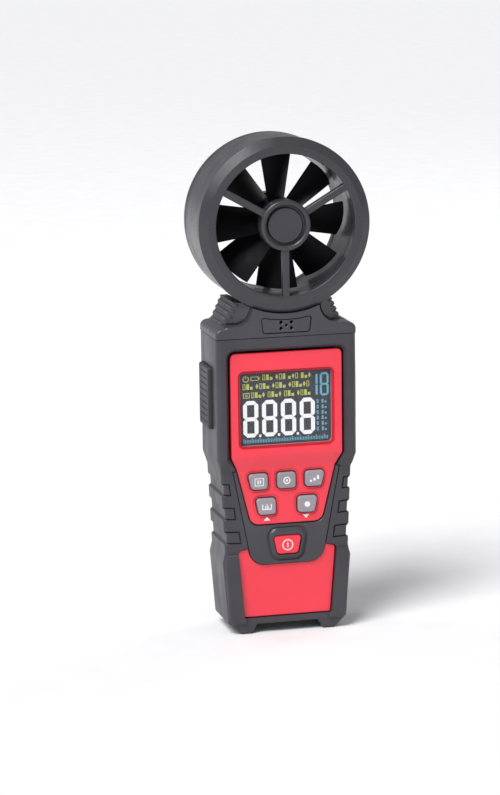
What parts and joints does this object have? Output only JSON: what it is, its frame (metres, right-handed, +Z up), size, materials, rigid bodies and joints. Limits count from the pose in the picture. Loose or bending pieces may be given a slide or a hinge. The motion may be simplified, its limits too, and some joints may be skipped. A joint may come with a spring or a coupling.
{
  "type": "handheld weather meter",
  "caption": "Handheld weather meter: a caged wind vane on a palm-sized body with a backlit display, rubber keys, a power key and a rear battery door.",
  "frame": {"origin": "centre of the outer box, at the height of the two feet it stands on", "axes": "+Z up along the length with the fan head on top, -Y the side with the display and keys, +X to the right of someone facing the display"},
  "size_m": [0.07, 0.034, 0.2013],
  "materials": {
    "black_rubber": "satin overmoulded rubber",
    "grey_plastic": "fine satin moulding",
    "red_plastic": "satin red moulding",
    "blade_plastic": "near black, semi-gloss",
    "key_rubber": "matt grey",
    "clear_plastic": "clear acrylic",
    "lcd_glass": "dark liquid crystal cell",
    "white_plastic": "white moulding",
    "board_green": "solder mask",
    "chip_black": "moulded package",
    "steel": "bright",
    "brass": "machined",
    "ferrite": "sintered ferrite, matt",
    "cell_wrap": "printed sleeve",
    "silicone": "matt",
    "cable_sleeve": "matt sleeve"
  },
  "bodies": {
    "meter": {"air_sensor": "chip_black", "battery_1": "cell_wrap", "battery_2": "cell_wrap", "battery_3": "cell_wrap", "battery_contact_1": "steel", "battery_contact_2": "steel", "battery_contact_3": "steel", "battery_spring_1": "steel", "battery_spring_2": "steel", "battery_spring_3": "steel", "bumper": "black_rubber", "buzzer": "chip_black", "case_screw_1": "steel", "case_screw_2": "steel", "case_screw_3": "steel", "case_screw_4": "steel", "fan_duct": "grey_plastic", "front_bearing": "brass", "front_case": "grey_plastic", "front_guard": "grey_plastic", "hall_board": "board_green", "hub_cap": "grey_plastic", "key_membrane": "silicone", "keypad_panel": "red_plastic", "lcd_backlight": "white_plastic", "lcd_glass": "lcd_glass", "lcd_holder": "white_plastic", "lcd_window": "clear_plastic", "lower_panel": "red_plastic", "main_board": "board_green", "power_panel": "grey_plastic", "processor": "chip_black", "rear_bearing": "brass", "rear_case": "grey_plastic", "rear_guard": "grey_plastic", "sensor_cable": "cable_sleeve", "sensor_cover": "grey_plastic", "side_pad_left": "black_rubber", "side_pad_right": "black_rubber", "switch_function": "steel", "switch_hold": "steel", "switch_power": "steel", "switch_record": "steel", "switch_set": "steel", "switch_unit": "steel", "tripod_socket": "brass"},
    "fan": {"impeller": "blade_plastic", "fan_shaft": "steel", "rotor_magnet": "ferrite"},
    "door": {"battery_door": "grey_plastic"},
    "hold_key": {"key_hold": "key_rubber"},
    "set_key": {"key_set": "key_rubber"},
    "function_key": {"key_function": "key_rubber"},
    "unit_key": {"key_unit": "key_rubber"},
    "record_key": {"key_record": "key_rubber"},
    "power_key": {"key_power": "red_plastic"}
  },
  "joints": [
    {"name": "fan_spin", "type": "hinge", "parent": "meter", "child": "fan", "pos_m": [0, -0.0008, 0.1663], "axis": [0, 1, 0], "continuous": true},
    {"name": "door_tilt", "type": "hinge", "parent": "meter", "child": "door", "pos_m": [0, 0.017, 0.009], "axis": [-1, 0, 0], "range_deg": [0, 70]},
    {"name": "hold_key_press", "type": "slide", "parent": "meter", "child": "hold_key", "axis": [0, 1, 0], "range_m": [0, 0.0007], "stiffness_N_per_m": 900},
    {"name": "set_key_press", "type": "slide", "parent": "meter", "child": "set_key", "axis": [0, 1, 0], "range_m": [0, 0.0007], "stiffness_N_per_m": 900},
    {"name": "function_key_press", "type": "slide", "parent": "meter", "child": "function_key", "axis": [0, 1, 0], "range_m": [0, 0.0007], "stiffness_N_per_m": 900},
    {"name": "unit_key_press", "type": "slide", "parent": "meter", "child": "unit_key", "axis": [0, 1, 0], "range_m": [0, 0.0007], "stiffness_N_per_m": 900},
    {"name": "record_key_press", "type": "slide", "parent": "meter", "child": "record_key", "axis": [0, 1, 0], "range_m": [0, 0.0007], "stiffness_N_per_m": 900},
    {"name": "power_key_press", "type": "slide", "parent": "meter", "child": "power_key", "axis": [0, 1, 0], "range_m": [0, 0.0007], "stiffness_N_per_m": 900}
  ]
}
